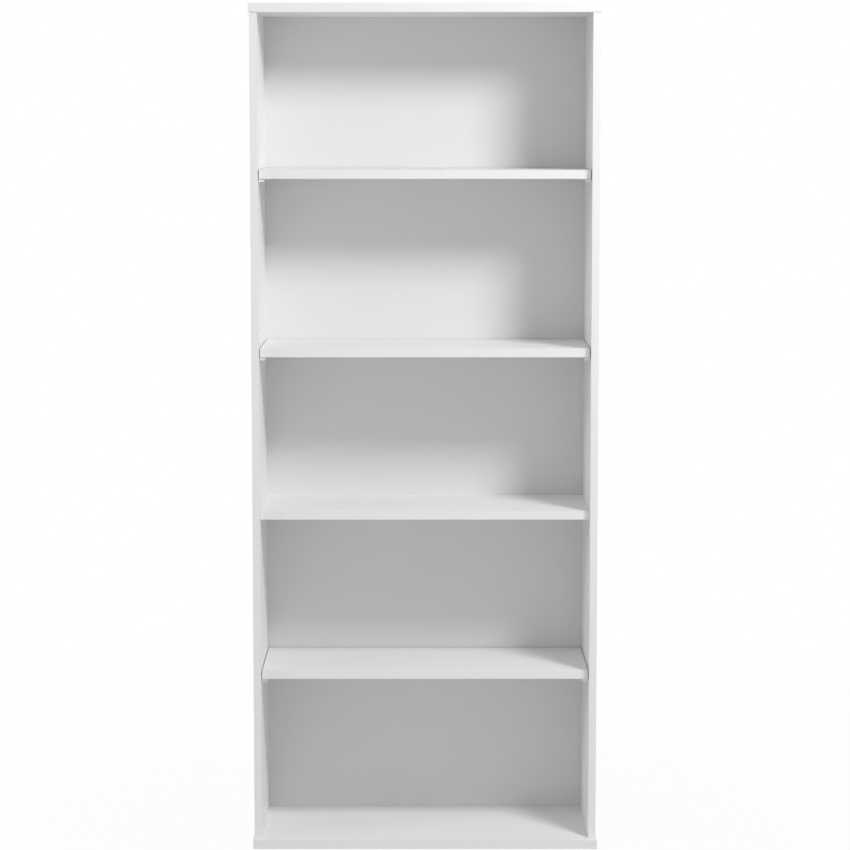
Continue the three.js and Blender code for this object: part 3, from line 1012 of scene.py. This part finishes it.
# %% [markdown]
# Floor, light and air
#
# The floor is a pale disc that fades into the white surroundings, as a studio's paper sweep does.
# One soft lamp high on the right, close to the bookcase, throws the sides' and shelves' shadows
# into the bays, and the white surroundings fill them. That lamp can't see the right side's inner
# face, so a weak parallel light comes to it from the left.


# %% Floor
FLOOR_RADIUS = 30.0
FLOOR_RINGS = 14
FLOOR_GROWTH = 1.6
FLOOR_SIDES = 64
PAPER_GLOW = 0.96  # the share of plain white in the floor near the bookcase
GLOW = 0.61  # how much light the white part gives
PAPER_TONE = 0.86
FADE = (0.5, 2.5)  # metres from the middle, from paper to plain white


def floor_disc():
    """Rings from the centre out, each FLOOR_GROWTH times as wide as the last."""
    radius = FLOOR_RADIUS * FLOOR_GROWTH ** (np.arange(FLOOR_RINGS) - FLOOR_RINGS + 1.0)
    return turned(radius[:, None], 0.0, once_round(FLOOR_SIDES))


def studio_floor():
    """Pale paper near the bookcase that turns to plain white further out. The white part is fully
    white to the eye, and gives a softer light."""
    finish = Finish("studio_paper", IOR=1.4, Specular_IOR_Level=0.2)
    x, y, z = finish.axes()
    distance = (x * x + y * y) ** 0.5
    weave = finish.noise(finish.place, scale=180.0, detail=3.0)
    finish.set(Base_Color=finish.shade(grey(PAPER_TONE), 0.99 + 0.02 * weave))
    finish.set(Roughness=0.85 + 0.05 * weave)
    glow = finish.node("ShaderNodeEmission", None, {"Color": grey(1.0), "Strength": GLOW})
    white = finish.node("ShaderNodeEmission", None, {"Color": grey(1.0), "Strength": 1.0})
    seen = finish.node("ShaderNodeLightPath", output="Is Camera Ray")
    sweep = finish.node("ShaderNodeMixShader", None, {0: seen, 1: glow, 2: white})
    paper = Field(finish, finish.surface.outputs[0])
    white_share = PAPER_GLOW + (1 - PAPER_GLOW) * distance.rise(*FADE)
    blend = finish.node("ShaderNodeMixShader", None, {0: white_share, 1: paper, 2: sweep})
    finish.tree.links.new(blend.socket, finish.end.inputs[0])
    return finish.material


floor_mesh = rings_to_mesh("studio_floor", floor_disc())
floor_mesh.materials.append(studio_floor())
floor = bpy.data.objects.new("studio_floor", floor_mesh)
bpy.context.scene.collection.objects.link(floor)
print("floor of", len(floor_mesh.polygons), "faces")

# %% Surroundings
SKY_LIGHT = 0.452


def surroundings():
    """White to the eye, and a softer white as a source of light."""
    world = bpy.data.worlds.new("white_studio")
    world.use_nodes = True
    tree = world.node_tree
    tree.nodes.clear()
    seen = tree.nodes.new("ShaderNodeBackground")
    seen.inputs["Color"].default_value = grey(1.0)
    seen.inputs["Strength"].default_value = 1.0
    lit = tree.nodes.new("ShaderNodeBackground")
    lit.inputs["Color"].default_value = grey(1.0)
    lit.inputs["Strength"].default_value = SKY_LIGHT
    path = tree.nodes.new("ShaderNodeLightPath")
    choice = tree.nodes.new("ShaderNodeMixShader")
    end = tree.nodes.new("ShaderNodeOutputWorld")
    tree.links.new(path.outputs["Is Camera Ray"], choice.inputs[0])
    tree.links.new(lit.outputs[0], choice.inputs[1])
    tree.links.new(seen.outputs[0], choice.inputs[2])
    tree.links.new(choice.outputs[0], end.inputs[0])
    bpy.context.scene.world = world


surroundings()
print("surroundings:", bpy.context.scene.world.name)


# %% Lamps
def soft_lamp(name, place, target, size, power, falloff):
    """An elliptic area lamp that shines from a place towards a target. Its falloff says whether the
    light weakens with distance, as Linear and Quadratic do, or stays Constant, as a far lamp's does."""
    data = bpy.data.lights.new(name, "AREA")
    data.shape = "ELLIPSE"
    data.size, data.size_y = size
    data.energy = power
    data.use_nodes = True
    tree = data.node_tree
    strength = tree.nodes.new("ShaderNodeLightFalloff")
    strength.inputs["Strength"].default_value = 1.0
    tree.links.new(strength.outputs[falloff], tree.nodes["Emission"].inputs["Strength"])
    lamp = bpy.data.objects.new(name, data)
    lamp.location = place
    lamp.rotation_euler = (Vector(target) - Vector(place)).to_track_quat("-Z", "Y").to_euler()
    lamp.visible_camera = False
    bpy.context.scene.collection.objects.link(lamp)
    return lamp


KEY_PLACE = (1.33, -1.575, 2.60)  # metres: on the right, in front and above
KEY_SIZE = (0.68, 0.54)
KEY_POWER = 14.8
GLANCE_DIRECTION = (3.73, 1.27, -1.5)  # which way the light travels
GLANCE_STRENGTH = 0.406
GLANCE_SPREAD = math.radians(12)


def glancing_light():
    """Parallel light from far out on the left, somewhat in front and above. It mostly reaches the
    right side's inner face and the front of each shelf, because the left side shades the rest."""
    data = bpy.data.lights.new("glancing_light", "SUN")
    data.energy = GLANCE_STRENGTH
    data.angle = GLANCE_SPREAD
    lamp = bpy.data.objects.new("glancing_light", data)
    lamp.rotation_euler = Vector(GLANCE_DIRECTION).to_track_quat("-Z", "Y").to_euler()
    bpy.context.scene.collection.objects.link(lamp)
    return lamp


middle = (cad_box[0] + cad_box[1]) / 2
key = soft_lamp("key_lamp", KEY_PLACE, middle, KEY_SIZE, KEY_POWER, "Linear")
lamps = [key, glancing_light()]
bpy.context.scene.view_settings.view_transform = "Standard"
print("lamps:", [(lamp.name, lamp.data.energy) for lamp in lamps])
